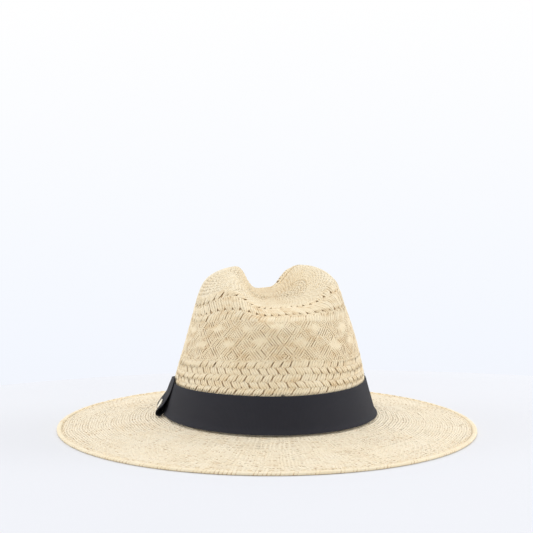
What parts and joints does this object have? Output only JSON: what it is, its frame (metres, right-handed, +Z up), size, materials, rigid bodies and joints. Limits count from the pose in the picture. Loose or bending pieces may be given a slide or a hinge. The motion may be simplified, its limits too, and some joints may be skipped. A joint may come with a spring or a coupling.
{
  "type": "straw sun hat",
  "caption": "Wide-brimmed open-weave straw sun hat with a centre-dented crown, dark ribbon band and keeper, inner sweatband and wired brim edge.",
  "frame": {"origin": "on the resting surface, at the centre of the brim's outline", "axes": "+Z up through the crown, -Y towards the wearer's front, -X towards the wearer's right, where the ribbon keeper sits"},
  "size_m": [0.3336, 0.3694, 0.1272],
  "materials": {
    "straw": "woven twisted-paper straw, matte with a faint waxy sheen",
    "straw_edge": "rolled straw edge, matte",
    "wire": "drawn spring wire",
    "ferrule": "plain tube",
    "straw_thread": "polyester sewing thread",
    "sweatband_cloth": "ribbed cotton tape",
    "label_cloth": "blank satin label",
    "ribbon": "matte grosgrain ribbon with a soft sheen",
    "ribbon_thread": "black sewing thread",
    "badge_metal": "pale gold plated, polished, blank"
  },
  "bodies": {
    "root": {"crown": "straw", "brim": "straw", "brim_edge_roll": "straw_edge", "brim_wire": "wire", "brim_wire_ferrule": "ferrule", "brim_edge_stitches": "straw_thread", "sweatband": "sweatband_cloth", "headline_stitches": "straw_thread", "care_label": "label_cloth", "ribbon_band": "ribbon", "ribbon_tacks": "ribbon_thread", "ribbon_keeper": "ribbon", "badge_plate": "badge_metal"}
  },
  "joints": []
}
